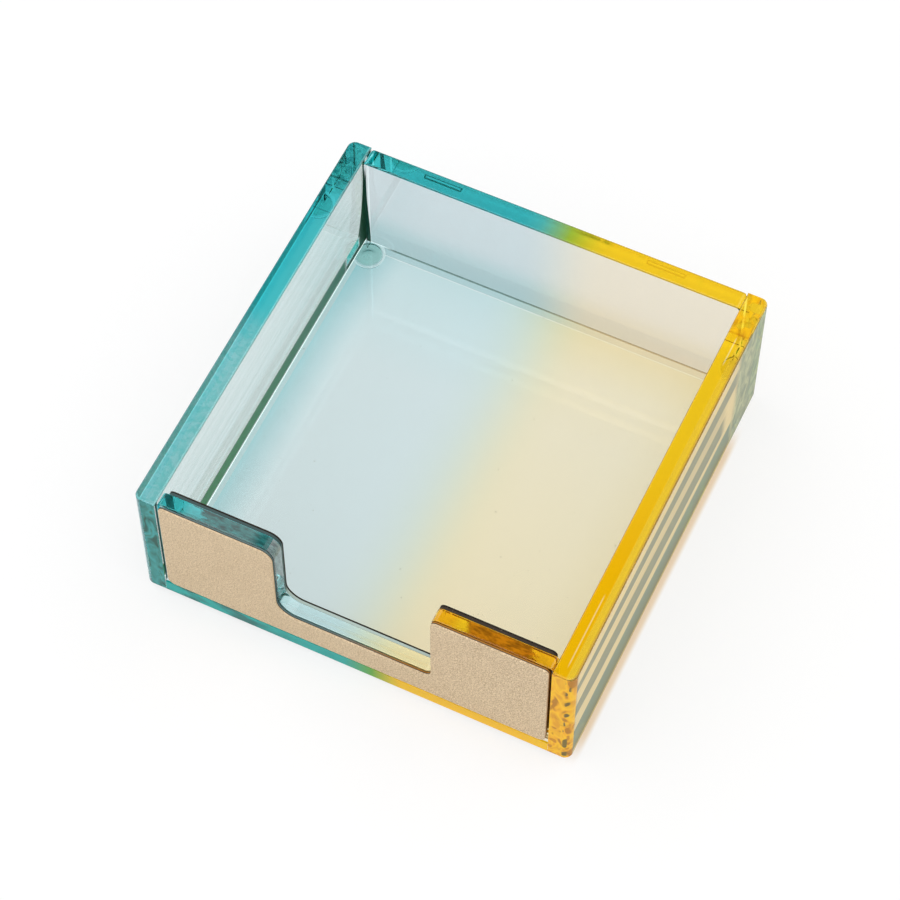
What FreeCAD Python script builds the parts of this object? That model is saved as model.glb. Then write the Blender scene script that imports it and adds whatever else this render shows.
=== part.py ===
"""Square memo tray: five glued acrylic panels, a leather plaque let into the front of
the front panel, a leather liner let into its back, and four clear bumper feet.

Millimetres, +Z up, -Y to the front. The origin is the centre of the footprint, at
the underside of the feet.
"""
import FreeCAD, Part
import math
import os
from FreeCAD import Vector

# Overall body
width = 100.0
depth = 101.6
side_height = 35.5            # side panels, underside to top edge
end_height = 35.0             # front and rear panels, a little lower than the sides
side_thickness = 5.0
rear_thickness = 4.4
front_thickness = 5.15
floor_thickness = 5.5
glue_film = 0.02              # cement or adhesive between two glued faces

# Edges and corners of the acrylic
corner_radius = 1.8           # outer upright corners
top_edge_radius = 0.4
bottom_edge_chamfer = 0.3
end_corner_radius = 1.0       # top corners of the front and rear panels, by the joints

# Finger notch in the front panel
notch_width = 35.6
notch_floor = 11.2            # above the underside of the body
notch_left_lip_radius = 3.2
notch_left_root_radius = 4.2
notch_right_lip_radius = 1.6
notch_right_root_radius = 1.8
front_edge_radius = 0.25      # long edges of the front panel's top and notch

# Plaque: leather on a dark board, held by two patches of tape, in a rebate
ledge_height = 3.6            # full-thickness rail below the plaque
tape_thickness = 0.15
board_thickness = 0.45
leather_thickness = 0.4
plaque_side_gap = 0.7         # groove between the plaque and each side panel
plaque_ledge_gap = 0.2
plaque_notch_setback = 0.15   # plaque edge behind the acrylic's edge, at notch and top
plaque_top_radius = 1.2
plaque_bottom_radius = 1.8
leather_edge_radius = 0.2
tape_side_margin = 4.5        # bare acrylic at both ends of each patch
tape_top_margin = 4.0
tape_height = 18.0
tape_radius = 2.5

# Liner: leather on a dark board, let into the back of the front panel above the floor
liner_board_thickness = 0.6
liner_leather_thickness = 0.35
liner_side_gap = 1.0
liner_floor_gap = 0.3

# Feet
foot_diameter = 8.0           # where it is stuck to the body
foot_tread_diameter = 6.6     # where it stands
foot_height = 1.48
foot_straight = 0.6           # height of its upright side, above the taper
foot_inset_x = 6.2            # centre to the outer face of the side panel
foot_inset_y = 5.6            # centre to the outer face of the front or rear panel

# Derived places
base = foot_height + glue_film     # underside of the acrylic body
half_width = width / 2
half_depth = depth / 2
inner_half_width = half_width - side_thickness
glued_half_width = inner_half_width - glue_film    # ends of the panels between the sides
rear_inner_y = half_depth - rear_thickness
front_inner_y = -half_depth + front_thickness
floor_top = base + floor_thickness
end_top = base + end_height
rebate_depth = glue_film + tape_thickness + board_thickness + leather_thickness
rebate_y = -half_depth + rebate_depth
liner_depth = glue_film + liner_board_thickness + liner_leather_thickness
liner_y = front_inner_y - liner_depth
half_notch = notch_width / 2


def rounded_outline(corners, y):
    """Closed wire in the plane Y = y through (x, z, radius) corners, each one rounded."""
    count = len(corners)
    ends = []
    arcs = []
    for i, (x, z, radius) in enumerate(corners):
        corner = Vector(x, y, z)
        before = Vector(corners[i - 1][0], y, corners[i - 1][1]) - corner
        after = Vector(corners[(i + 1) % count][0], y, corners[(i + 1) % count][1]) - corner
        before.normalize()
        after.normalize()
        if radius == 0:
            ends.append((corner, corner))
            arcs.append(None)
            continue
        half_angle = before.getAngle(after) / 2
        tangent = radius / math.tan(half_angle)
        to_centre = (before + after).normalize()
        centre = corner + to_centre * (radius / math.sin(half_angle))
        start = corner + before * tangent
        end = corner + after * tangent
        ends.append((start, end))
        arcs.append(Part.Arc(start, centre - to_centre * radius, end).toShape())
    edges = []
    for i in range(count):
        if arcs[i] is not None:
            edges.append(arcs[i])
        leave = ends[i][1]
        arrive = ends[(i + 1) % count][0]
        if leave.distanceToPoint(arrive) > 1e-6:
            edges.append(Part.LineSegment(leave, arrive).toShape())
    return Part.Wire(edges)


def slab(corners, y_front, y_rear):
    """Solid of a rounded outline between two planes."""
    face = Part.Face(rounded_outline(corners, y_front))
    return face.extrude(Vector(0, y_rear - y_front, 0))


def block(x_low, x_high, y_low, y_high, z_low, z_high):
    """Plain box between two corners."""
    size = (x_high - x_low, y_high - y_low, z_high - z_low)
    return Part.makeBox(*size, Vector(x_low, y_low, z_low))


def edges_where(shape, test):
    """Edges that pass the test all the way between their ends."""
    return [edge for edge in shape.Edges if all(test(p) for p in edge.discretize(5)[1:-1])]


def near(value, target):
    return abs(value - target) < 1e-4


def notch_corners(setback, top):
    """Corners of the notch, from the right tab's top to the left tab's top."""
    right = half_notch + setback
    bottom = base + notch_floor - setback
    return [
        (right, top, notch_right_lip_radius - setback),
        (right, bottom, notch_right_root_radius + setback),
        (-right, bottom, notch_left_root_radius + setback),
        (-right, top, notch_left_lip_radius - setback),
    ]


def tab_outline(half_span, bottom, top, end_radius, bottom_radius, setback):
    """Outline of a strip with a tab each side of the notch."""
    return [
        (-half_span, bottom, bottom_radius),
        (half_span, bottom, bottom_radius),
        (half_span, top, end_radius),
        *notch_corners(setback, top),
        (-half_span, top, end_radius),
    ]


def side_wall(side):
    """Side panel over the whole depth: side is -1 for the left and 1 for the right."""
    outer_x = side * half_width
    inner_x = side * inner_half_width
    top = base + side_height
    panel = block(min(outer_x, inner_x), max(outer_x, inner_x), -half_depth, half_depth, base, top)
    uprights = edges_where(panel, lambda p: near(p.x, outer_x) and near(abs(p.y), half_depth))
    panel = panel.makeFillet(corner_radius, uprights)
    panel = panel.makeFillet(top_edge_radius, edges_where(panel, lambda p: near(p.z, top)))
    lower = edges_where(panel, lambda p: near(p.z, base) and not near(p.x, inner_x))
    return panel.makeChamfer(bottom_edge_chamfer, lower)


def rear_wall():
    """Rear panel between the side panels."""
    corners = [
        (-glued_half_width, base, 0),
        (glued_half_width, base, 0),
        (glued_half_width, end_top, end_corner_radius),
        (-glued_half_width, end_top, end_corner_radius),
    ]
    panel = slab(corners, rear_inner_y, half_depth)
    for face_y in (rear_inner_y, half_depth):
        tops = edges_where(panel, lambda p: near(p.z, end_top) and near(p.y, face_y))
        panel = panel.makeFillet(top_edge_radius, tops)
    lower = edges_where(panel, lambda p: near(p.z, base) and near(p.y, half_depth))
    return panel.makeChamfer(bottom_edge_chamfer, lower)


def front_wall():
    """Front panel between the side panels: notched, and rebated on both faces."""
    outline = tab_outline(glued_half_width, base, end_top, end_corner_radius, 0, 0)
    panel = slab(outline, -half_depth, front_inner_y)
    above = base + side_height
    for y_low, y_high, z_low in (
            (-half_depth, rebate_y, base + ledge_height),
            (liner_y, front_inner_y, floor_top)):
        panel = panel.cut(block(-half_width, half_width, y_low, y_high, z_low, above))
    for face_y in (rebate_y, liner_y):
        tops = edges_where(panel, lambda p: near(p.y, face_y) and near(p.z, end_top))
        panel = panel.makeFillet(front_edge_radius, tops)
    lower = edges_where(panel, lambda p: near(p.z, base) and near(p.y, -half_depth))
    return panel.makeChamfer(bottom_edge_chamfer, lower)


def floor_panel():
    """Floor between the four walls, flush with their undersides."""
    front_y = front_inner_y + glue_film
    rear_y = rear_inner_y - glue_film
    return block(-glued_half_width, glued_half_width, front_y, rear_y, base, floor_top)


def plaque_slab(y_front, y_rear):
    """Layer of the plaque between two planes."""
    outline = tab_outline(
        inner_half_width - plaque_side_gap, base + ledge_height + plaque_ledge_gap,
        end_top - plaque_notch_setback, plaque_top_radius, plaque_bottom_radius,
        plaque_notch_setback)
    return slab(outline, y_front, y_rear)


def plaque_leather():
    """Leather face of the plaque, flush with the front of the body."""
    leather = plaque_slab(-half_depth, -half_depth + leather_thickness)
    return leather.makeFillet(
        leather_edge_radius, edges_where(leather, lambda p: near(p.y, -half_depth)))


def plaque_board():
    """Dark board that stiffens the leather."""
    board_y = -half_depth + leather_thickness
    return plaque_slab(board_y, board_y + board_thickness)


def plaque_tape():
    """Patches of double-sided tape, one on each tab."""
    tape_y = rebate_y - glue_film
    high = end_top - tape_top_margin
    low = high - tape_height
    patches = []
    for side in (-1, 1):
        inner = side * (half_notch + tape_side_margin)
        outer = side * (inner_half_width - plaque_side_gap - tape_side_margin)
        left = min(inner, outer)
        right = max(inner, outer)
        corners = [(left, low, tape_radius), (right, low, tape_radius),
                   (right, high, tape_radius), (left, high, tape_radius)]
        patches.append(slab(corners, tape_y - tape_thickness, tape_y))
    return Part.makeCompound(patches)


def liner_slab(y_front, y_rear):
    """Layer of the liner between two planes."""
    outline = tab_outline(
        inner_half_width - liner_side_gap, floor_top + liner_floor_gap,
        end_top - plaque_notch_setback, plaque_top_radius, 0, plaque_notch_setback)
    return slab(outline, y_front, y_rear)


def liner_board():
    """Dark board in the front panel's rear rebate."""
    board_y = liner_y + glue_film
    return liner_slab(board_y, board_y + liner_board_thickness)


def liner_leather():
    """Leather that covers the liner's board, flush with the panel's thick foot."""
    return liner_slab(front_inner_y - liner_leather_thickness, front_inner_y)


def foot(side, end):
    """Clear bumper foot under one corner: a disc that tapers towards the desk."""
    centre = Vector(side * (half_width - foot_inset_x), end * (half_depth - foot_inset_y), 0)
    taper = foot_height - foot_straight
    tread = Part.makeCone(foot_tread_diameter / 2, foot_diameter / 2, taper, centre)
    disc = Part.makeCylinder(foot_diameter / 2, foot_straight, centre + Vector(0, 0, taper))
    return tread.fuse(disc)


pieces = {
    "left_wall": side_wall(-1),
    "right_wall": side_wall(1),
    "rear_wall": rear_wall(),
    "front_wall": front_wall(),
    "floor_panel": floor_panel(),
    "plaque_leather": plaque_leather(),
    "plaque_board": plaque_board(),
    "plaque_tape": plaque_tape(),
    "liner_board": liner_board(),
    "liner_leather": liner_leather(),
    "foot_front_left": foot(-1, -1),
    "foot_front_right": foot(1, -1),
    "foot_rear_left": foot(-1, 1),
    "foot_rear_right": foot(1, 1),
}

os.makedirs("parts", exist_ok=True)
for name, shape in pieces.items():
    shape.exportStep(f"parts/{name}.step")
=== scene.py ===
import math
import bpy
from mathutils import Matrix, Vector


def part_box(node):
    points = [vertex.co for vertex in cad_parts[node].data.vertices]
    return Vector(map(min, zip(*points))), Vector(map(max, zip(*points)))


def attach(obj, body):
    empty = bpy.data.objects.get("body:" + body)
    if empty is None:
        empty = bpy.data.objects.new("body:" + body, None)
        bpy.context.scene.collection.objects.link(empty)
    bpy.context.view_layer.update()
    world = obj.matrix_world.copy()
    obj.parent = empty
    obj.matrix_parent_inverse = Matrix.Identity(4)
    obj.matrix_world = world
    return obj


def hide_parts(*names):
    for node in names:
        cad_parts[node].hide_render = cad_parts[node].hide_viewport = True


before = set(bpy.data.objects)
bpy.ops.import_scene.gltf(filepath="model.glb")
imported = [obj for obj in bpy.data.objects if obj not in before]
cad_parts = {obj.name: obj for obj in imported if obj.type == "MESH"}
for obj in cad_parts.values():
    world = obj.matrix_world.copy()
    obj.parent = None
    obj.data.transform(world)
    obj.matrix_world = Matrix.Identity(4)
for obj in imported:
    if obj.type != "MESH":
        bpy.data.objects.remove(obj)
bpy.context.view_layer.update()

bpy.ops.object.select_all(action="DESELECT")

# ---------------------------------------------------------------------------
# Side panels
# Two upright panels of cast acrylic, dyed teal on the left and amber on the
# right, with diamond-polished edges and rounded outer corners. The front, the
# rear and the floor are cemented between them with clear solvent cement.
# ---------------------------------------------------------------------------


class Value:
    """An output of a shader node, on which sums are written as plain Python."""

    def __init__(self, socket):
        self.socket = socket

    def math(self, operation, first, second=0.0):
        tree = self.socket.id_data
        node = tree.nodes.new("ShaderNodeMath")
        node.operation = operation
        for slot, value in zip(node.inputs, (first, second)):
            if isinstance(value, Value):
                tree.links.new(value.socket, slot)
            else:
                slot.default_value = value
        return Value(node.outputs[0])

    def __add__(self, other):
        return self.math("ADD", self, other)

    def __radd__(self, other):
        return self.math("ADD", other, self)

    def __sub__(self, other):
        return self.math("SUBTRACT", self, other)

    def __rsub__(self, other):
        return self.math("SUBTRACT", other, self)

    def __mul__(self, other):
        return self.math("MULTIPLY", self, other)

    def __gt__(self, other):
        return self.math("GREATER_THAN", self, other)

    def __lt__(self, other):
        return self.math("LESS_THAN", self, other)

    def __or__(self, other):
        return self.math("MAXIMUM", self, other)

    def __neg__(self):
        return self.math("MULTIPLY", self, -1.0)

    def __abs__(self):
        return self.math("ABSOLUTE", self)


class Nodes:
    """The nodes of one material or world, added one call at a time."""

    def __init__(self, tree):
        self.tree = tree
        tree.nodes.clear()

    def add(self, kind, settings=None, sockets=None, output=0):
        node = self.tree.nodes.new("ShaderNode" + kind)
        for name, value in (settings or {}).items():
            if name == "stops":
                stops = node.color_ramp.elements
                while len(stops) < len(value):
                    stops.new(1.0)
                for stop, (position, colour) in zip(stops, value):
                    stop.position = position
                    stop.color = (*colour, 1)
            else:
                setattr(node, name, value)
        for name, value in (sockets or {}).items():
            slot = node.inputs[name]
            if isinstance(value, Value):
                self.tree.links.new(value.socket, slot)
            elif isinstance(value, tuple) and slot.type == "RGBA":
                slot.default_value = (*value, 1)
            else:
                slot.default_value = value
        if isinstance(output, tuple):
            return [Value(node.outputs[name]) for name in output]
        return Value(node.outputs[output]) if node.outputs else None

    def place(self):
        """The point on the piece, and its x, y and z, in millimetres."""
        point = self.add("VectorMath", {"operation": "SCALE"},
                         {0: self.add("TexCoord", output="Object"), "Scale": 1000.0})
        return point, *self.add("SeparateXYZ", {}, {"Vector": point}, ("X", "Y", "Z"))

    def blend(self, factor, below, above):
        """A colour between two, by a factor from 0 to 1."""
        return self.add("Mix", {"data_type": "RGBA"}, {0: factor, 6: below, 7: above}, 2)

    def stain(self, colour, mask, tint):
        """The colour seen through a tint, where the mask is 1."""
        return self.add("Mix", {"data_type": "RGBA", "blend_type": "MULTIPLY"},
                        {0: mask, 6: colour, 7: tint}, 2)

    def ramp(self, value, *stops):
        """A colour from a row of (position, colour) stops."""
        return self.add("ValToRGB", {"stops": stops}, {"Fac": value})

    def rise(self, value, low, high, curve="SMOOTHSTEP"):
        """0 below one value, 1 above another and smooth between."""
        return self.add("MapRange", {"interpolation_type": curve},
                        {"Value": value, "From Min": low, "From Max": high})

    def band(self, value, low, high, soft):
        """1 between two values and 0 outside, over a soft edge."""
        return self.rise(value, low, low + soft) * (1 - self.rise(value, high - soft, high))

    def noise(self, point, size, detail=2.0, roughness=0.5, distortion=0.0):
        """Noise from 0 to 1, in patches of about the given size in millimetres."""
        return self.add("TexNoise", {}, {
            "Vector": point, "Scale": 1 / size, "Detail": detail, "Roughness": roughness,
            "Distortion": distortion})

    def stretched(self, point, *scale):
        """The point, scaled along x, y and z, so that a small scale draws patches out."""
        return self.add("Mapping", {}, {"Vector": point, "Scale": scale})


def new_material(name):
    """An empty material that uses nodes."""
    material = bpy.data.materials.new(name)
    material.use_nodes = True
    return material


def dress(node, material):
    """Give a CAD node its finish."""
    slots = bpy.data.objects[node].data.materials
    slots.clear()
    slots.append(material)


def within(value, low, high):
    """1 between two values and 0 outside, with hard edges."""
    return (value > low) * (value < high)


# Where the panels meet, in millimetres
INNER_X, OUTER_X = 45.0, 50.0        # faces of the side panels
REBATE_Y = -49.78                    # bottom of the plaque's rebate
LINER_Y = -46.62                     # bottom of the liner's rebate
FRONT_IN_Y = -45.65                  # back of the front panel's foot
REAR_IN_Y = 46.4                     # inner face of the rear panel
FRONT_Y, REAR_Y = -50.8, 50.8
BODY_Z = 1.5                         # underside of the acrylic
LEDGE_Z = 5.1                        # top of the rail below the plaque
FLOOR_Z = 7.0                        # top of the floor
END_Z = 36.5                         # top of the front and rear panels
SIDE_Z = 37.0                        # top of the side panels
HAIR = 0.03                          # nearer than this, two faces count as one
SKIN = 0.01                          # a face and nothing behind it
EDGE = 0.4                           # rounding along the polished top edges
BEVEL = 0.3                          # bevel along the lower edges
ROUND_END = 1.0                      # rounding at the ends of the front and rear panels' tops
FOOT_X, FOOT_Y, FOOT_RADIUS = 43.8, 45.2, 3.9

# The dye, from teal on the left to amber on the right
DYE_FROM, DYE_TO = -9.0, 13.0
DYE_DENSITY = 60.0
TEAL_DYE = (0.50, 0.867, 0.883)
AMBER_DYE = (0.983, 0.867, 0.167)
ACRYLIC_IOR = 1.49
SMEAR_ROUGHNESS = 0.02               # where a finger has smeared the polish
CEMENT_ROUGHNESS, CEMENT_GLOSS = 0.4, 0.2


def cemented_to_side(y, z):
    """Section of the front panel, the floor and the rear panel, where they meet a side."""
    rail = (y < REBATE_Y) * (z < LEDGE_Z)
    middle = within(y, REBATE_Y, LINER_Y) * (z < END_Z - ROUND_END)
    butt = within(y, LINER_Y, REAR_IN_Y + EDGE) * within(z, BODY_Z + 2 * SKIN, FLOOR_Z)
    rear = (y > REAR_IN_Y + EDGE) * (z < END_Z - ROUND_END)
    return rail | middle | butt | rear


def on_foot(x, y, z):
    """Patch of the underside that a foot covers."""
    across = abs(x) - FOOT_X
    along = abs(y) - FOOT_Y
    return (z < BODY_Z + SKIN) * (across * across + along * along < FOOT_RADIUS ** 2)


def acrylic(name, contact, paint, film=None):
    """Dyed acrylic. The faces wetted by cement, tape or a foot don't reflect.

    The paint gives the surface's tint, its glow, which is painted light, the colour of a cloudy layer
    on it, which is cement in places and painted shade and painted reflections in others, and how much
    of the surface that layer covers.
    """
    material = new_material(name)
    nodes = Nodes(material.node_tree)
    point, x, y, z = nodes.place()
    dye = nodes.rise(x, DYE_FROM, DYE_TO, "SMOOTHERSTEP")
    colour, glow, cement_and_painted_light, cover = paint(nodes, point, x, y, z, dye)
    smear = nodes.rise(nodes.noise(point, 12.0, 4.0, 0.6), 0.5, 0.8)
    clear = nodes.add("BsdfPrincipled", {}, {
        "Base Color": colour, "Roughness": smear * SMEAR_ROUGHNESS, "IOR": ACRYLIC_IOR,
        "Transmission Weight": 1.0, "Emission Color": glow, "Emission Strength": 1.0})
    # Dyed cement and saw-cut faces scatter the light that the clear faces let through; in places the
    # same layer carries painted shade and painted reflections
    cloudy = nodes.add("BsdfPrincipled", {}, {
        "Base Color": cement_and_painted_light, "Roughness": CEMENT_ROUGHNESS, "Specular IOR Level": CEMENT_GLOSS})
    skin = nodes.add("MixShader", {}, {0: cover, 1: clear, 2: cloudy})
    wetted = contact(x, y, z) | on_foot(x, y, z)
    if film:
        wetted = wetted | film(nodes, point, x, y, z)
    face = nodes.add("MixShader", {}, {0: wetted, 1: skin, 2: nodes.add("BsdfTransparent")})
    inside = nodes.add("MixShader", {}, {
        0: dye,
        1: nodes.add("VolumeAbsorption", {}, {"Color": TEAL_DYE, "Density": DYE_DENSITY}),
        2: nodes.add("VolumeAbsorption", {}, {"Color": AMBER_DYE, "Density": DYE_DENSITY})})
    nodes.add("OutputMaterial", {}, {"Surface": face, "Volume": inside})
    return material


NONE = (0.0, 0.0, 0.0)

# Painted light and shade on the left panel's inner face, by the floor joint and the rear corner: the
# height of the band of painted shade above the joint, a painted bright patch, a dark wedge of painted
# shade that narrows upwards, its foot, the dark line below the patch, and the painted shade in the gap
# behind the plaque's edge
JOINT_Z = (7.4, 12.8)
PATCH_Y, PATCH_Z = (36.4, 43.4), (8.8, 12.8)
WEDGE_FROM, WEDGE_TO, WEDGE_TOP, WEDGE_SPREAD = 8, 34, 0.45, 5.0
CORNER_Y, CORNER_Z = 43.0, (7.3, 12.6)
SILL_Z = (7.3, 9.3)
PLAQUE_GAP_Y = (-50.5, -49.5)
LEFT_END_COVER, SHADOW_COVER, JOINT_COVER, LEFT_RIM_COVER = 0.88, 0.85, 0.5, 0.35


def paint_left(nodes, point, x, y, z, dye):
    """Teal: grey-white through the panel, deep along its edges, with painted green shade above the
    floor joint and painted light and shade in the rear corner.
    """
    inner = x > -INNER_X - SKIN
    blotch = nodes.noise(point, 1.6, 3.0, 0.6, 1.0)
    # The inner face, with streaks along it
    streak = nodes.noise(nodes.stretched(point, 0.0, 0.012, 0.7), 1.0, 3.0)
    wall = nodes.blend(nodes.rise(streak, 0.35, 0.7), (0.84, 0.81, 0.79), (1.0, 0.93, 0.93))
    wall = nodes.stain(wall, nodes.rise(y, -10, 40), (0.90, 0.94, 0.94))
    # Painted shade above the floor joint, as seen through the panel: a green band, greyer and cut
    # short at the rear
    joint_shade = inner * nodes.band(z, *JOINT_Z, 0.9) * (1 - nodes.rise(y, 35.5, 37.5))
    green = nodes.blend(nodes.rise(y, -30, 30), (0.0, 0.050, 0.0), (0.0, 0.010, 0.003))
    wall = nodes.stain(wall, joint_shade, nodes.blend(blotch * 0.5, green, (0.01, 0.08, 0.01)))
    # The rear corner: a painted bright patch, and a dark wedge of painted shade that narrows upwards
    patch = inner * nodes.band(y, *PATCH_Y, 0.8) * nodes.band(z, *PATCH_Z, 0.8)
    wall = nodes.stain(wall, patch, nodes.blend(nodes.rise(blotch, 0.4, 0.6),
                                                (0.0, 0.35, 0.30), (0.05, 0.90, 0.85)))
    slope = 1 - nodes.rise(z, WEDGE_FROM, WEDGE_TO, "LINEAR")
    width = WEDGE_TOP + slope * slope * WEDGE_SPREAD
    wedge = nodes.band(REAR_IN_Y - y, -1.0, width, 0.3) * (z > 12.4)
    corner = nodes.rise(y, CORNER_Y, CORNER_Y + 0.5) * within(z, *CORNER_Z)
    sill = nodes.band(z, *SILL_Z, 0.5) * nodes.rise(y, 36.0, 37.0)
    shadow = inner * (wedge | corner | sill)
    wall = nodes.stain(wall, shadow, nodes.blend(blotch, (0.0, 0.0, 0.0), (0.0, 0.05, 0.02)))
    # Painted shade in the gap behind the plaque's edge: a dark line down the panel
    plaque_gap_shade = inner * nodes.band(y, *PLAQUE_GAP_Y, 0.15) * (z > LEDGE_Z)
    wall = nodes.stain(wall, plaque_gap_shade, (0.02, 0.20, 0.18))
    # The polished rim, darker and mottled to the rear, greyer to the front where a pale reflection is
    # painted in, and with painted shade along its outer edge
    rim = z > SIDE_Z - EDGE
    across = nodes.rise(x, -OUTER_X, -INNER_X, "LINEAR")
    deep = nodes.blend(across, (0.0, 0.60, 0.66), (0.10, 0.92, 0.98))
    grey = nodes.blend(nodes.rise(blotch, 0.35, 0.65), (0.40, 0.82, 0.78), (1.0, 0.95, 0.95))
    ends = nodes.blend(nodes.rise(blotch, 0.40, 0.60), (0.0, 0.10, 0.09), (0.02, 0.62, 0.62))
    edge = nodes.blend(nodes.rise(y, -12, 4), grey, deep)
    edge = nodes.blend(nodes.rise(y, 34, 38) * 0.8, edge, ends)
    cut = nodes.band(y, 39.6, 40.5, 0.3) | nodes.band(y, 30.6, 31.2, 0.25) * 0.6
    # Painted shade: a dark line along the rim's outer, rounded edge
    edge_shade = nodes.band(x, -OUTER_X - 1, -49.45, 0.3)
    edge = nodes.stain(edge, cut | edge_shade * 0.8, (0.01, 0.10, 0.10))
    # The front end, clouded with dyed cement
    front = y < FRONT_Y + 2 * SKIN
    swirl = nodes.noise(nodes.stretched(point, 1.0, 1.0, 0.45), 2.4, 2.0, 0.55, 0.8)
    end = nodes.ramp(swirl, (0.35, (0.01, 0.14, 0.10)), (0.5, (0.03, 0.60, 0.55)),
                     (0.7, (0.02, 0.25, 0.20)))
    cement_and_painted_light = nodes.ramp(swirl, (0.34, (0.006, 0.08, 0.06)), (0.44, (0.02, 0.22, 0.20)),
                        (0.58, (0.04, 0.34, 0.33)), (0.70, (0.02, 0.14, 0.10)))
    colour = nodes.blend(rim, nodes.blend(front, wall, end), edge)
    # The cloudy layer: dyed cement on the front end and the rear of the rim, and painted shade over
    # the joint band, the wedge and the gap by the plaque; and how much of each face it covers
    inner_shade = nodes.blend(nodes.rise(y, -40, 30), (0.03, 0.24, 0.04), (0.0, 0.16, 0.07))
    dark = nodes.blend(blotch, (0.0, 0.03, 0.01), (0.03, 0.10, 0.04))
    inner_shade = nodes.blend(shadow, inner_shade, dark)
    inner_shade = nodes.blend(plaque_gap_shade, inner_shade, (0.01, 0.07, 0.06))
    cement_and_painted_light = nodes.blend(inner, cement_and_painted_light, inner_shade)
    dull = rim * nodes.rise(y, 35, 40) * nodes.rise(blotch, 0.42, 0.55)
    cover = front * LEFT_END_COVER + (joint_shade * JOINT_COVER | (shadow | plaque_gap_shade) * SHADOW_COVER)
    cover = cover + dull * LEFT_RIM_COVER
    # Painted highlights: a bright line along the bead of cement at the floor, and a line of light
    # along the rim
    joint_highlight = inner * nodes.band(z, FLOOR_Z - 0.1, FLOOR_Z + 0.45, 0.15) * (y < REAR_IN_Y)
    sheen = rim * nodes.band(x, -45.5, -44.0, 0.25) * 0.16
    glow = nodes.blend(joint_highlight | sheen, NONE, (0.60, 0.72, 0.70))
    return colour, glow, cement_and_painted_light, cover


# The painted reflections in bands on the right panel's outer face: how high they lie, and where they
# fade out
UPPER_Z, UPPER_END = (26.2, 32.8), (33, 37)
MIDDLE_Z, BETWEEN_Z, MIDDLE_END = (14.4, 22.0), (20.8, 27.2), (27, 31)
LOW_Z, BASE_Z, LOW_END = (2.8, 12.6), (2.8, 6.4), (33, 36)
MOTTLE_FROM = (33, 36.5)
RIGHT_END_COVER, SIDE_COVER, BAND_COVER, RIGHT_RIM_COVER = 0.93, 0.50, 0.12, 0.5


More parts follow.
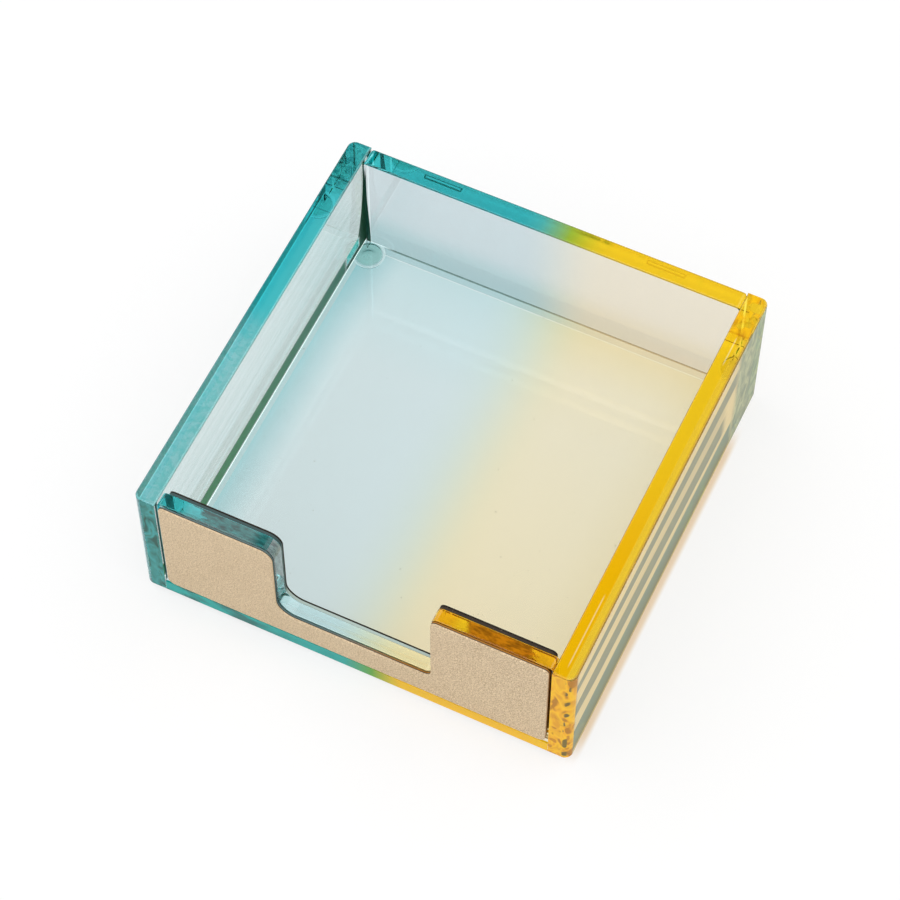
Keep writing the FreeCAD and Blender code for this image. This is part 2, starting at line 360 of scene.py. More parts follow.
def paint_right(nodes, point, x, y, z, dye):
    """Amber: pale through the panel, deep along its edges, with painted reflections in bands on its
    outer face.
    """
    wall = (1.0, 0.975, 0.90)
    outer = x > OUTER_X - BEVEL
    # Painted reflections: bands that the rear, the floor and the front throw into the outer face,
    # painted as tints and as a cloudy layer over it
    front_end = nodes.rise(FRONT_Y - y, -16, 0)
    tone = nodes.noise(nodes.stretched(point, 0.0, 0.02, 1.0), 0.7, 2.0)
    light = nodes.rise(tone, 0.35, 0.65)
    side = nodes.blend(light, (0.83, 0.63, 0.18), (0.91, 0.72, 0.26))
    reflected_bands = nodes.blend(light, (0.83, 0.60, 0.18), (0.92, 0.68, 0.24))
    along = nodes.rise(-y, -20, 35, "LINEAR")
    upper = nodes.band(z, UPPER_Z[0] + along * 1.8 + front_end * 1.0, UPPER_Z[1], 0.7)
    upper = upper * (1 - nodes.rise(y, *UPPER_END))
    middle = nodes.band(z, MIDDLE_Z[0] + along * 2.2 + front_end * 1.6, MIDDLE_Z[1] + along * 2.0, 0.7)
    between = nodes.band(z, *BETWEEN_Z, 0.8) * (1 - along) * 0.4
    shades = upper | (middle | between) * (1 - nodes.rise(y, *MIDDLE_END))
    side = nodes.blend(shades, side, nodes.blend(tone, (0.11, 0.14, 0.04), (0.21, 0.23, 0.08)))
    reflected_bands = nodes.blend(shades, reflected_bands, nodes.blend(tone, (0.12, 0.14, 0.03), (0.21, 0.21, 0.06)))
    low = nodes.band(z, *LOW_Z, 0.6) * (1 - nodes.rise(y, *LOW_END))
    base = low * nodes.band(z, *BASE_Z, 0.8)
    side = nodes.stain(side, low, (0.22, 0.38, 0.30))
    side = nodes.stain(side, base, (0.60, 0.55, 0.40))
    reflected_bands = nodes.blend(low, reflected_bands, (0.12, 0.19, 0.06))
    reflected_bands = nodes.blend(base, reflected_bands, (0.13, 0.16, 0.04))
    # The rear quarter, with a painted, mottled reflection of the rear joint
    rear = nodes.rise(y, *MOTTLE_FROM)
    clouds = nodes.noise(nodes.stretched(point, 1.0, 0.6, 0.35), 1.6, 3.0, 0.6, 0.5)
    clouds = nodes.rise(clouds, 0.30, 0.72)
    side = nodes.blend(rear, side, nodes.blend(clouds, (0.20, 0.24, 0.06), (0.50, 0.50, 0.20)))
    reflected_bands = nodes.blend(rear, reflected_bands, nodes.blend(clouds, (0.10, 0.16, 0.04), (0.40, 0.45, 0.18)))
    shades = shades | low | rear
    # The rim: a lighter outer strip, a brown outermost line of painted shade and a few thin painted
    # highlights
    rim = z > SIDE_Z - EDGE
    inside = nodes.blend(nodes.rise(y, -25, 15), (1.0, 0.53, 0.0), (1.0, 0.76, 0.01))
    edge = nodes.blend(nodes.rise(x, 47.9, 48.3), inside, (1.0, 0.84, 0.10))
    edge = nodes.stain(edge, nodes.rise(x, 49.2, 49.6), (0.62, 0.50, 1.0))
    ends = nodes.rise(y, 37, 41)
    resin = nodes.rise(nodes.noise(point, 3.0, 1.0, 0.5, 0.6), 0.40, 0.62)
    edge = nodes.blend(ends * 0.7, edge, nodes.blend(resin, (0.90, 0.46, 0.0), (1.0, 0.84, 0.04)))
    edge = nodes.stain(edge, nodes.band(y, 39.4, 40.2, 0.3), (0.45, 0.25, 0.2))
    # The front end: orange, clouded with cement, with a row of trapped bubbles
    front = y < FRONT_Y + 1.6
    swirl = nodes.noise(nodes.stretched(point, 1.0, 0.3, 0.45), 2.2, 1.0, 0.5, 0.7)
    end = nodes.ramp(swirl, (0.36, (0.55, 0.24, 0.0)), (0.48, (1.0, 0.62, 0.0)),
                     (0.60, (1.0, 0.75, 0.01)), (0.72, (0.85, 0.46, 0.01)))
    cement_and_painted_light = nodes.ramp(swirl, (0.33, (0.50, 0.20, 0.0)), (0.42, (0.90, 0.42, 0.0)),
                        (0.50, (0.98, 0.56, 0.0)), (0.66, (0.80, 0.36, 0.0)))
    mottle = nodes.rise(-z, -22, -12) * nodes.rise(nodes.noise(point, 2.2, 1.0), 0.54, 0.62)
    cement_and_painted_light = nodes.stain(cement_and_painted_light, mottle, (0.66, 0.50, 0.5))
    bubbles = nodes.band(x, 47.9, 49.5, 0.5) * nodes.rise(
        nodes.noise(nodes.stretched(point, 1.0, 0.3, 0.62), 1.5, 0.0), 0.57, 0.63)
    cement_and_painted_light = nodes.blend(bubbles, cement_and_painted_light, (0.16, 0.12, 0.02))
    colour = nodes.blend(outer, wall, side)
    colour = nodes.blend(rim, nodes.blend(front, colour, end), edge)
    cement_and_painted_light = nodes.blend(outer * (1 - front), cement_and_painted_light, reflected_bands)
    face = outer * (1 - front) * (1 - rim)
    cover = front * (1 - rim) * RIGHT_END_COVER + face * (SIDE_COVER + shades * BAND_COVER)
    cover = cover + rim * ends * (1 - resin) * RIGHT_RIM_COVER
    # Painted light: a faint glow all along the rim, and thin painted highlights on it
    rim_highlights = nodes.band(x, 47.1, 47.5, 0.12) * (
        nodes.band(y, -48.7, -29.5, 2.0) | nodes.band(y, 30.8, 39.4, 1.5))
    glow = nodes.blend(rim, NONE, nodes.blend(rim_highlights, (0.08, 0.05, 0.0), (0.16, 0.22, 0.20)))
    return colour, glow, cement_and_painted_light, cover


dress("left_wall", acrylic(
    "acrylic_left", lambda x, y, z: (x > -INNER_X - SKIN) * cemented_to_side(y, z), paint_left))
dress("right_wall", acrylic(
    "acrylic_right", lambda x, y, z: (x < INNER_X + SKIN) * cemented_to_side(y, z), paint_right))

# ---------------------------------------------------------------------------
# Rear panel
# The thinnest of the panels, blended from teal to amber, set between the side
# panels a little lower than their top edges.
# ---------------------------------------------------------------------------


RIM_OVERLAP = (-8.0, 14.0)           # where the two dyes overlap along an edge
SEAM_X = (-41, -38)                  # where the dark line of the rear joint begins
SEAM_Z = (6.8, 7.35)
# Where the painted shade in the rear panel's left corner reaches
REAR_CORNER_X, REAR_CORNER_SPREAD = 44.35, 0.65
MARK_X, MARK_Y = (22.0, 31.3), (48.3, 49.6)      # the clamp marks on the rim
LEAF_X, LEAF_Y = (4.5, 14.5), (49.2, 50.6)       # a leaf-shaped chip of green dye
REAR_CORNER_COVER = 0.85


def at_ends(x):
    """Ends of a panel, cemented to the side panels."""
    return abs(x) > INNER_X - HAIR


def rim_dye(nodes, x, teal, green, amber):
    """The dye along an edge, where teal and amber overlap in green."""
    along = nodes.rise(x, *RIM_OVERLAP, "LINEAR")
    return nodes.ramp(along, (0.0, teal), (0.25, teal), (0.55, green), (0.85, amber))


def paint_rear(nodes, point, x, y, z, dye):
    """Grey-white through the panel, deep along its rim, with painted shade in its left corner."""
    blotch = nodes.noise(point, 2.0, 3.0, 0.6, 0.8)
    wall = nodes.blend(dye, (0.75, 0.76, 0.79), (0.84, 0.82, 0.89))
    low = 1 - nodes.rise(z, 9, 20)
    wall = nodes.stain(wall, low, nodes.blend(dye, (0.72, 0.88, 0.88), (0.95, 0.92, 0.82)))
    inner = y < REAR_IN_Y + SKIN
    line = inner * nodes.band(z, *SEAM_Z, 0.12) * nodes.rise(x, *SEAM_X)
    wall = nodes.stain(wall, line, nodes.blend(dye, (0.04, 0.08, 0.05), (0.22, 0.16, 0.08)))
    # Painted shade in the left corner, as a tint and as a dark cloudy layer
    reach = REAR_CORNER_X - nodes.rise(z, 26, 8) * REAR_CORNER_SPREAD
    corner = (y < REAR_IN_Y + EDGE + 2 * SKIN) * (-x > reach) * nodes.rise(z, 36.2, 30)
    wall = nodes.stain(wall, corner, (0.0, 0.03, 0.015))
    # The rim, darker towards its back and mottled, with painted shade along its long edges
    rim = z > END_Z - EDGE
    edge = rim_dye(nodes, x, (0.04, 0.76, 0.79), (0.30, 0.66, 0.03), (1.0, 0.86, 0.03))
    back = nodes.rise(y, 48.8, 50.4)
    edge = nodes.stain(edge, back, (0.75, 0.66, 0.62))
    edge = nodes.stain(edge, nodes.rise(blotch, 0.5, 0.65) * 0.3, (0.5, 0.8, 0.8))
    # Painted shade along the rim's long, rounded edges
    edge_shade = nodes.band(y, 50.2, 52.0, 0.3) | nodes.band(y, 45.0, 46.8, 0.25)
    edge = nodes.stain(edge, edge_shade * 0.6, (0.2, 0.3, 0.3))
    # The clamp marks are thin outlines, and a dark line crosses the rim by its left end
    aside = abs(x)
    frame_x = nodes.band(aside, *MARK_X, 0.15) * (
        1 - nodes.band(aside, MARK_X[0] + 0.4, MARK_X[1] - 0.4, 0.15))
    frame_y = nodes.band(y, *MARK_Y, 0.12) * (
        1 - nodes.band(y, MARK_Y[0] + 0.45, MARK_Y[1] - 0.25, 0.12))
    mark = (frame_x * nodes.band(y, MARK_Y[0] + 0.2, MARK_Y[1], 0.1)) | (
        frame_y * nodes.band(aside, MARK_X[0] + 0.2, MARK_X[1] - 0.2, 0.1))
    edge = nodes.stain(edge, mark, nodes.blend(dye, (0.05, 0.12, 0.09), (0.62, 0.52, 0.5)))
    edge = nodes.stain(edge, nodes.band(x, -44.0, -42.9, 0.25), (0.0, 0.18, 0.18))
    leaf = nodes.band(x, *LEAF_X, 2.5) * nodes.band(y, *LEAF_Y, 0.5)
    edge = nodes.stain(edge, leaf * nodes.rise(blotch, 0.30, 0.50), (0.14, 0.32, 0.30))
    colour = nodes.blend(rim, wall, edge)
    # Painted highlight along the floor joint, and a painted glow on the amber part of the rim
    joint_highlight = inner * nodes.band(z, FLOOR_Z - 0.1, FLOOR_Z + 0.35, 0.12)
    joint_highlight = joint_highlight * (1 - nodes.rise(x, -41, -37))
    glow = nodes.blend(joint_highlight, NONE, (0.40, 0.46, 0.46))
    glow = nodes.blend(rim * dye, glow, (0.20, 0.11, 0.0))
    return colour, glow, (0.015, 0.06, 0.035), corner * REAR_CORNER_COVER


def rear_contact(x, y, z):
    """Its ends, its face against the floor, and the bevels that cement has filled."""
    butt = (y < REAR_IN_Y + SKIN) * within(z, BODY_Z + 2 * SKIN, FLOOR_Z)
    groove = (y < REAR_IN_Y + BEVEL + 2 * SKIN) * within(z, BODY_Z + SKIN, BODY_Z + BEVEL + SKIN)
    seam = (abs(x) > INNER_X - EDGE - HAIR) * (y > REAR_Y - EDGE)
    return at_ends(x) | butt | groove | seam


dress("rear_wall", acrylic("acrylic_rear", rear_contact, paint_rear))

# ---------------------------------------------------------------------------
# Floor
# One sheet cemented between the four walls, flush with their undersides.
# ---------------------------------------------------------------------------


def paint_floor(nodes, point, x, y, z, dye):
    """Nearly white, warmer or cooler towards the rear, deeper towards the side panels, with painted
    teal shade by the left one.
    """
    depth = nodes.rise(y, -45, 45, "LINEAR")
    teal = nodes.ramp(depth, (0.0, (0.92, 0.93, 0.925)), (0.3, (0.94, 0.95, 0.955)),
                      (0.7, (0.965, 0.975, 0.985)), (1.0, (0.87, 0.965, 0.985)))
    amber = nodes.ramp(depth, (0.0, (1.0, 0.93, 0.82)), (0.3, (1.0, 0.965, 0.91)),
                       (0.72, (1.0, 0.99, 1.0)), (0.88, (1.0, 0.98, 0.965)),
                       (1.0, (1.0, 0.94, 0.80)))
    spread = nodes.rise(x, -16, 14)
    green = nodes.band(x, -14, 16, 14)
    colour = nodes.stain(nodes.blend(spread, teal, amber), green, (0.985, 0.99, 0.94))
    # Painted teal shade along the edge by the left panel, tinted by the light that comes through it
    left = nodes.rise(-x, 34, 46.5)
    colour = nodes.stain(colour, left, (0.60, 0.82, 0.84))
    colour = nodes.stain(colour, left * nodes.rise(y, 25, 46), (0.78, 0.89, 0.90))
    colour = nodes.stain(colour, nodes.rise(x, 28, 45), (0.97, 0.95, 0.88))
    seam = nodes.rise(y, 46.0, 46.3) * nodes.rise(x, *SEAM_X) * (z > FLOOR_Z - SKIN)
    colour = nodes.stain(colour, seam, nodes.blend(dye, (0.10, 0.16, 0.12), (0.45, 0.32, 0.16)))
    # Specks of dust
    specks = nodes.rise(nodes.noise(point, 0.9, 1.0), 0.77, 0.80)
    colour = nodes.stain(colour, specks, (0.75, 0.74, 0.70))
    return colour, NONE, NONE, 0.0


def floor_contact(x, y, z):
    """All four of its edges."""
    edges = at_ends(x) | (y < FRONT_IN_Y + HAIR) | (y > REAR_IN_Y - HAIR)
    return within(z, BODY_Z + 2 * SKIN, FLOOR_Z - 2 * SKIN) * edges


dress("floor_panel", acrylic("acrylic_floor", floor_contact, paint_floor))

# ---------------------------------------------------------------------------
# Front panel
# Notched for a finger, and rebated on both faces: outside for the leather
# plaque, inside for the liner.
# ---------------------------------------------------------------------------

TAPE_X = (22.3, 39.8)                # ends of each tape patch, from the middle
TAPE_Z = (14.5, 32.5)
RAIL_COVER = 0.88


def front_contact(x, y, z):
    """Ends, and the foot where the floor butts against it."""
    butt = (y > FRONT_IN_Y - SKIN) * within(z, BODY_Z + 2 * SKIN, FLOOR_Z - SKIN)
    return at_ends(x) | butt


def paint_front(nodes, point, x, y, z, dye):
    """Clear through the panel, deep along its rim and on the rail below the plaque."""
    blotch = nodes.noise(nodes.stretched(point, 0.45, 1.0, 1.0), 1.6, 3.0, 0.6, 1.0)
    wall = nodes.blend(dye, (0.90, 0.95, 0.96), (1.0, 0.97, 0.90))
    rim = z > END_Z - EDGE
    edge = rim_dye(nodes, x, (0.03, 0.60, 0.60), (0.16, 0.62, 0.06), (1.0, 0.70, 0.01))
    edge = nodes.stain(edge, nodes.rise(blotch, 0.45, 0.6) * 0.5, (0.6, 0.6, 0.6))
    # Above the tape the edge is duller on the left, and beside it deeper on the right
    over_tape = nodes.band(abs(x), TAPE_X[0] - 1, TAPE_X[1] + 0.5, 3.0)
    edge = nodes.stain(edge, dye * (1 - over_tape), (1.0, 0.66, 0.4))
    # The rail, whose cloudy skin is duller to the left
    rail = (y < FRONT_Y + 0.4) * (z < LEDGE_Z + 0.1)
    strip = rim_dye(nodes, x, (0.0, 0.52, 0.50), (0.14, 0.46, 0.03), (1.0, 0.80, 0.0))
    strip = nodes.stain(strip, nodes.rise(blotch, 0.42, 0.60) * (1 - dye), (0.5, 0.5, 0.5))
    strip = nodes.stain(strip, nodes.rise(-x, 22, 34), (0.8, 0.5, 0.5))
    colour = nodes.blend(rim, nodes.blend(rail, wall, strip), edge)
    scatter = rim_dye(nodes, x, (0.01, 0.42, 0.38), (0.12, 0.42, 0.05), (0.95, 0.55, 0.0))
    dull = nodes.rise(nodes.noise(nodes.stretched(point, 0.3, 1.0, 0.6), 2.4, 2.0), 0.40, 0.60)
    dull = dull * nodes.rise(-x, 12, 26) * 0.8 + dull * (1 - dye) * 0.2
    scatter = nodes.stain(scatter, dull, (1.5, 0.40, 0.40))
    # A faint painted glow on the edge above the tape, to the left
    glow = nodes.blend(rim * over_tape * (1 - dye), NONE, (0.085, 0.05, 0.05))
    return colour, glow, scatter, rail * RAIL_COVER


def taped(nodes, point, x, y, z):
    """The patches that the tape wets, unevenly towards their ends."""
    wet = nodes.rise(nodes.noise(point, 2.5, 2.0), 0.3, 0.7) * 2.0
    ends = nodes.band(abs(x), TAPE_X[0], TAPE_X[1] + wet - 2.0, 1.6) * (abs(x) < TAPE_X[1])
    return within(y, REBATE_Y - HAIR, REBATE_Y + HAIR) * ends * within(z, *TAPE_Z)


dress("front_wall", acrylic("acrylic_front", front_contact, paint_front, taped))

# ---------------------------------------------------------------------------
# Leather plaque
# Vegetable-tanned leather, skived thin and glued to a dark board, with its edge
# turned down all round. Two patches of double-sided tape hold the board in the
# front panel's rebate.
# ---------------------------------------------------------------------------

HIDE_GRID = 0.001                    # spacing of the cuts that let the hide's face wave, in metres
HIDE_WAVE, HIDE_WAVE_SIZE = 0.00005, 0.007
ON_FACE = 0.00002                    # nearer to a face than this, a point lies on it
GRAIN_SIZE, PEBBLE_SIZE, PATCH_SIZE = 0.32, 0.55, 9.0        # in millimetres


def choose(piece):
    """Select one piece alone and make it the active one."""
    bpy.ops.object.select_all(action="DESELECT")
    piece.select_set(True)
    bpy.context.view_layer.objects.active = piece


def welded_copy(node, name):
    """A copy of a CAD node with its facets joined, to be worked on as a piece."""
    piece = bpy.data.objects.new(name, bpy.data.objects[node].data.copy())
    bpy.context.scene.collection.objects.link(piece)
    piece.data.materials.clear()
    choose(piece)
    bpy.ops.mesh.customdata_custom_splitnormals_clear()
    bpy.ops.object.mode_set(mode="EDIT")
    bpy.ops.mesh.select_all(action="SELECT")
    bpy.ops.mesh.remove_doubles(threshold=0.000001)
    bpy.ops.mesh.dissolve_limited(angle_limit=math.radians(0.3))
    return piece


def hide(node, name, front_y, direction):
    """A skin of leather: cut into a fine grid, waved a little on its face, and smoothed."""
    piece = welded_copy(node, name)
    low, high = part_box(node)
    for axis, normal in ((0, (1, 0, 0)), (2, (0, 0, 1))):
        place = low[axis] + HIDE_GRID
        while place < high[axis] - HIDE_GRID / 4:
            bpy.ops.mesh.select_all(action="SELECT")
            bpy.ops.mesh.bisect(plane_co=[place * part for part in normal], plane_no=normal)
            place += HIDE_GRID
    bpy.ops.mesh.select_all(action="DESELECT")
    bpy.ops.object.mode_set(mode="OBJECT")
    face = piece.vertex_groups.new(name="face")
    face.add([point.index for point in piece.data.vertices
              if abs(point.co.y - front_y) < ON_FACE], 1.0, "REPLACE")
    texture = bpy.data.textures.new(name, "CLOUDS")
    texture.noise_scale = HIDE_WAVE_SIZE
    wave = piece.modifiers.new("wave", "DISPLACE")
    wave.texture = texture
    wave.vertex_group = "face"
    wave.direction = "Y"
    wave.mid_level = 1.0 if direction < 0 else 0.0
    wave.strength = HIDE_WAVE
    bpy.ops.object.modifier_apply(modifier="wave")
    bpy.ops.object.shade_smooth_by_angle(angle=math.radians(35))
    return piece


def leather_material(name, light, deep, shine):
    """Grained leather: small pebbles with fine pores between them, coarser to the right."""
    material = new_material(name)
    nodes = Nodes(material.node_tree)
    point, x, y, z = nodes.place()
    patches = nodes.noise(point, PATCH_SIZE, 4.0, 0.55)
    fine = nodes.noise(point, GRAIN_SIZE, 2.0, 0.6)
    cells = nodes.add("TexVoronoi", {"feature": "DISTANCE_TO_EDGE"},
                      {"Vector": point, "Scale": 1 / PEBBLE_SIZE, "Randomness": 1.0})
    pebble = nodes.rise(cells, 0.0, 0.25)
    grain = nodes.rise(fine, 0.36, 0.64) * 0.7 + (1 - pebble) * 0.3
    tone = 0.30 + patches * 0.15 + (grain - 0.45) * (0.62 + nodes.rise(x, 0, 30) * 0.30)
    surface = nodes.add("BsdfPrincipled", {}, {
        "Base Color": nodes.blend(tone, light, deep),
        "Roughness": 0.62 + fine * 0.15,
        "Specular IOR Level": shine,
        "Normal": nodes.add("Bump", {}, {
            "Strength": 1.0, "Distance": 0.0001, "Height": pebble * 0.5 + fine})})
    nodes.add("OutputMaterial", {}, {"Surface": surface})
    return material


LEATHER, LEATHER_DEEP, LEATHER_SHINE = (0.85, 0.68, 0.46), (0.42, 0.29, 0.16), 0.35
leather = hide("plaque_leather", "plaque_hide", FRONT_Y / 1000, -1)
leather.data.materials.append(leather_material("leather_tan", LEATHER, LEATHER_DEEP, LEATHER_SHINE))
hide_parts("plaque_leather")
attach(leather, "root")

BOARD_DARK = (0.020, 0.014, 0.010)
BOARD_FIBRE = (0.05, 0.035, 0.024)
BOARD_FLECK = (0.22, 0.17, 0.12)
# Painted light on the plaque board's edges: teal and amber, as if lit through the panels beside them
BOARD_TEAL = ((0.16, 0.24, 0.24), (0.07, 0.13, 0.13))
BOARD_AMBER = ((0.50, 0.22, 0.03), (0.28, 0.11, 0.02))


def board_material(name, edge):
    """Dark fibre board. Its edges take the colour that the edge function gives."""
    material = new_material(name)
    nodes = Nodes(material.node_tree)
    point, x, y, z = nodes.place()
    fibre = nodes.noise(nodes.stretched(point, 1.0, 1.0, 6.0), 2.0, 4.0, 0.65)
    flecks = nodes.rise(nodes.noise(point, 0.5, 2.0), 0.66, 0.74)
    stock = nodes.blend(flecks, nodes.blend(fibre, BOARD_DARK, BOARD_FIBRE), BOARD_FLECK)
    surface = nodes.add("BsdfPrincipled", {}, {
        "Base Color": edge(nodes, x, y, stock, fibre),
        "Roughness": 0.7 + fibre * 0.2,
        "Specular IOR Level": 0.3,
        "Normal": nodes.add("Bump", {}, {"Strength": 0.3, "Distance": 0.00005, "Height": fibre})})
    nodes.add("OutputMaterial", {}, {"Surface": surface})
    return material


def plaque_edge(nodes, x, y, stock, fibre):
    """Painted teal light to the left and amber light to the right, from the panels beside it, behind
    the plain front of the board.
    """
    panel_light = nodes.blend(nodes.rise(x, -10, 16), nodes.blend(fibre, *BOARD_TEAL),
                       nodes.blend(fibre, *BOARD_AMBER))
    return nodes.blend(nodes.rise(y, -50.26, -50.16), stock, panel_light)


dress("plaque_board", board_material("board_plaque", plaque_edge))

TAPE_WHITE = (0.85, 0.80, 0.72)
TAPE_WET = (0.36, 0.30, 0.24)
TAPE_TEAL_GLOW = ((0.30, 0.24, 0.23), (0.15, 0.11, 0.11))
TAPE_AMBER_GLOW = ((0.42, 0.16, 0.02), (0.20, 0.09, 0.02))


def tape_material():
    """Clear film, pale where air is trapped and darker where it has wetted the board."""
    material = new_material("tape_clear")
    nodes = Nodes(material.node_tree)
    point, x, y, z = nodes.place()
    wet = nodes.rise(nodes.noise(point, 3.0, 4.0, 0.65), 0.38, 0.62)
    # Painted light: the tape glows, to brighten it where it is seen through the dyed panels, teal side
    # and amber side
    surface = nodes.add("BsdfPrincipled", {}, {
        "Base Color": nodes.blend(wet, TAPE_WHITE, TAPE_WET),
        "Emission Color": nodes.blend(
            nodes.rise(x, -20, 20), nodes.blend(wet, *TAPE_TEAL_GLOW),
            nodes.blend(wet, *TAPE_AMBER_GLOW)),
        "Emission Strength": 1.0, "Roughness": 0.35 + wet * 0.2,
        "Normal": nodes.add("Bump", {}, {"Strength": 0.2, "Distance": 0.00005, "Height": wet})})
    nodes.add("OutputMaterial", {}, {"Surface": surface})
    return material


dress("plaque_tape", tape_material())

# ---------------------------------------------------------------------------
# Liner
# A second, darker leather on its own board, let into the back of the front
# panel so that the notes rest against leather.
# ---------------------------------------------------------------------------

LINER, LINER_DEEP, LINER_SHINE = (0.030, 0.022, 0.015), (0.006, 0.004, 0.003), 0.12
LINER_PALE, LINER_GREY = (0.42, 0.52, 0.48), (0.05, 0.085, 0.085)
NOTCH_X = (17.2, 18.2)               # where the notch's sides cut the liner's edge


def liner_edge(nodes, x, y, stock, fibre):
    """Grey on the left tab, pale along the notch and bare on the right tab."""
    left = nodes.blend(nodes.rise(x, -NOTCH_X[1], -NOTCH_X[0]), LINER_GREY, LINER_PALE)
    return nodes.blend(nodes.rise(x, *NOTCH_X), left, stock)


dress("liner_board", board_material("board_liner", liner_edge))
liner = hide("liner_leather", "liner_hide", FRONT_IN_Y / 1000, 1)
liner.data.materials.append(leather_material("leather_dark", LINER, LINER_DEEP, LINER_SHINE))
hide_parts("liner_leather")
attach(liner, "root")

# ---------------------------------------------------------------------------
# Feet
# Clear polyurethane bumpers with a softened edge and a moulded hollow under
# the middle, stuck to the underside in the four corners.
# ---------------------------------------------------------------------------

BUMPER_TOP = 1.475                   # in millimetres: above it, the foot is stuck on
BUMPER_HEIGHT = 0.00148
BUMPER_RADIUS, BUMPER_TREAD = 0.004, 0.0033
BUMPER_EDGE = 0.0003
BUMPER_HOLLOW, BUMPER_HOLLOW_DEPTH = 0.0012, 0.00025


def foot_material(name, skin, glue):
    """Clear, slightly cloudy plastic. Adhesive joins its top to the acrylic."""
    material = new_material(name)
    nodes = Nodes(material.node_tree)
    point, x, y, z = nodes.place()
    cloud = nodes.noise(point, 2.0, 3.0)
    surface = nodes.add("BsdfPrincipled", {}, {
        "Base Color": nodes.blend(cloud, *skin),
        "Roughness": 0.22 + cloud * 0.16, "IOR": ACRYLIC_IOR, "Transmission Weight": 1.0})
    face = nodes.add("MixShader", {}, {
        0: z > BUMPER_TOP, 1: surface,
        2: nodes.add("BsdfTransparent", {}, {"Color": glue})})
    nodes.add("OutputMaterial", {}, {"Surface": face})
    return material


# The tints of each side's bumper, and of the adhesive on its top
BUMPER_DYE = {
    "left": (((0.74, 0.86, 0.86), (0.62, 0.78, 0.78)), (0.70, 0.86, 0.82)),
    "right": (((0.95, 0.93, 0.86), (0.90, 0.87, 0.78)), (0.96, 0.94, 0.86))}
bumper_materials = {side: foot_material(f"bumper_{side}", *dye) for side, dye in BUMPER_DYE.items()}
bpy.ops.object.select_all(action="DESELECT")
bpy.ops.mesh.primitive_cylinder_add(
    vertices=64, radius=BUMPER_RADIUS, depth=BUMPER_HEIGHT, location=(0, 0, BUMPER_HEIGHT / 2))
disc = bpy.context.object
bpy.ops.object.transform_apply(location=True)
for edge in disc.data.edges:
    edge.select = False
for face in disc.data.polygons:
    face.select = face.normal.z < -0.9
bpy.ops.object.mode_set(mode="EDIT")
bpy.ops.mesh.select_mode(type="FACE")
shrink = BUMPER_TREAD / BUMPER_RADIUS
bpy.ops.transform.resize(value=(shrink, shrink, 1), center_override=(0, 0, 0))
bpy.ops.mesh.bevel(offset=BUMPER_EDGE, segments=4)
bpy.ops.mesh.select_all(action="DESELECT")
bpy.ops.object.mode_set(mode="OBJECT")
treads = [face for face in disc.data.polygons if face.normal.z < -0.9]
max(treads, key=lambda face: face.area).select = True
bpy.ops.object.mode_set(mode="EDIT")
bpy.ops.mesh.inset(thickness=BUMPER_HOLLOW)
bpy.ops.mesh.inset(thickness=BUMPER_EDGE, depth=-BUMPER_HOLLOW_DEPTH)
bpy.ops.object.mode_set(mode="OBJECT")
bpy.ops.object.shade_smooth_by_angle(angle=math.radians(40))

corners = [(end, side) for end in ("front", "rear") for side in ("left", "right")]
bumpers = [disc]
for _ in corners[1:]:
    choose(disc)
    bpy.ops.object.duplicate()
    bumpers.append(bpy.context.object)
for piece, (end, side) in zip(bumpers, corners):
    piece.name = f"bumper_{end}_{side}"
    piece.data.materials.append(bumper_materials[side])
    choose(piece)
    piece.location = (FOOT_X / 1000 * (1 if side == "right" else -1),
                      FOOT_Y / 1000 * (1 if end == "rear" else -1), 0)
    bpy.ops.object.transform_apply(location=True)
    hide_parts(f"foot_{end}_{side}")
    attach(piece, "root")

# ---------------------------------------------------------------------------
# Desk and light
# A wide white desk under a broad soft light from above, which fades towards
# the horizon.
# ---------------------------------------------------------------------------

DESK_SIZE = 40.0
DESK_WHITE = 0.9
DESK_GLOW = 0.72
DESK_GAP = 0.00005                   # keeps the desk clear of the feet
AMBER_CAST = (0.82, 0.66, 0.48)      # light that the amber panel throws beside itself
CAST_X, CAST_Y = (-51.7, -50.3), (-52, 42)

bpy.ops.object.select_all(action="DESELECT")
bpy.ops.mesh.primitive_plane_add(size=DESK_SIZE, location=(0, 0, -DESK_GAP))
desk = bpy.context.object
desk.name = "desk"
desk_material = new_material("desk_white")
nodes = Nodes(desk_material.node_tree)
point, x, y, z = nodes.place()
cast = nodes.rise(-x, *CAST_X) * (x > OUTER_X - 1) * nodes.band(y, *CAST_Y, 10)
seen, mirrored, through = nodes.add(
    "LightPath", output=("Is Camera Ray", "Is Glossy Ray", "Is Transmission Ray"))
nodes.add("OutputMaterial", {}, {"Surface": nodes.add("MixShader", {}, {
    0: (seen | mirrored | through) * DESK_GLOW,
    1: nodes.add("BsdfPrincipled", {}, {
        "Base Color": nodes.blend(cast, (DESK_WHITE, DESK_WHITE, DESK_WHITE), AMBER_CAST),
        "Roughness": 1.0,
        "Specular IOR Level": 0.0}),
    2: nodes.add("Emission", {}, {
        "Color": nodes.blend(cast, (1.0, 1.0, 1.0), AMBER_CAST), "Strength": 1.0})})})
desk.data.materials.append(desk_material)

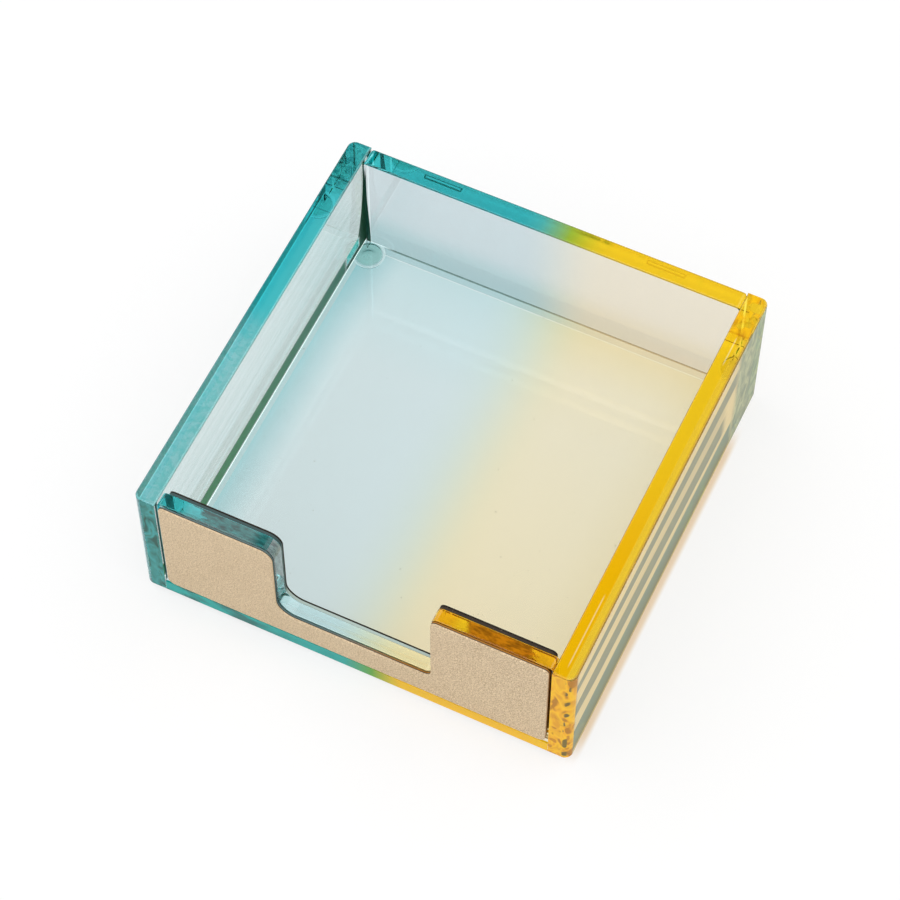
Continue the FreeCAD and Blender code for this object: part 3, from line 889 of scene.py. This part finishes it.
SKY_LOW, SKY_HIGH, SKY_FADE = 0.1, 1.45, (0.05, 0.6)
DARK_PART = (-0.223, 0.469, 0.854)   # towards the dark end of the studio
DARK_EDGE, DARK_DEPTH = (0.93, 0.975), 0.95
world = bpy.data.worlds.new("studio")
world.use_nodes = True
bpy.context.scene.world = world
nodes = Nodes(world.node_tree)
direction = nodes.add("TexCoord", output="Generated")
up = nodes.add("SeparateXYZ", {}, {"Vector": direction}, "Z")
seen = nodes.add("LightPath", output="Is Camera Ray")
sky = SKY_LOW + nodes.rise(up, *SKY_FADE) * (SKY_HIGH - SKY_LOW)
facing = nodes.add("VectorMath", {"operation": "DOT_PRODUCT"}, {0: direction, 1: DARK_PART}, "Value")
sky = sky * (1 - nodes.rise(facing, *DARK_EDGE) * DARK_DEPTH)
nodes.add("OutputWorld", {}, {"Surface": nodes.add("Background", {}, {
    "Color": (1.0, 1.0, 1.0), "Strength": sky * (1 - seen) + seen})})

# ---------------------------------------------------------------------------
# Camera
# Looks down on the front right corner, as the tray stands on a desk.
# ---------------------------------------------------------------------------

AZIMUTH, ELEVATION, DISTANCE = math.radians(25.44), math.radians(58.68), 0.7013
AIM = Vector((-0.00502, 0.00703, 0.0015))
FOCAL_PIXELS, FRAME_PIXELS, SENSOR = 3174, 900, 36.0

back = Vector((math.sin(AZIMUTH) * math.cos(ELEVATION),
               -math.cos(AZIMUTH) * math.cos(ELEVATION), math.sin(ELEVATION)))
bpy.ops.object.camera_add(location=AIM + back * DISTANCE,
                          rotation=(math.pi / 2 - ELEVATION, 0, AZIMUTH))
camera = bpy.context.object
camera.data.sensor_width = SENSOR
camera.data.lens = FOCAL_PIXELS / FRAME_PIXELS * SENSOR
camera.data.clip_start = 0.01
scene = bpy.context.scene
scene.camera = camera
scene.view_settings.view_transform = "Standard"
scene.cycles.use_denoising = True
scene.cycles.max_bounces = 32
scene.cycles.transmission_bounces = 32
scene.cycles.glossy_bounces = 24
scene.cycles.transparent_max_bounces = 32
scene.cycles.diffuse_bounces = 6
scene.cycles.volume_bounces = 0
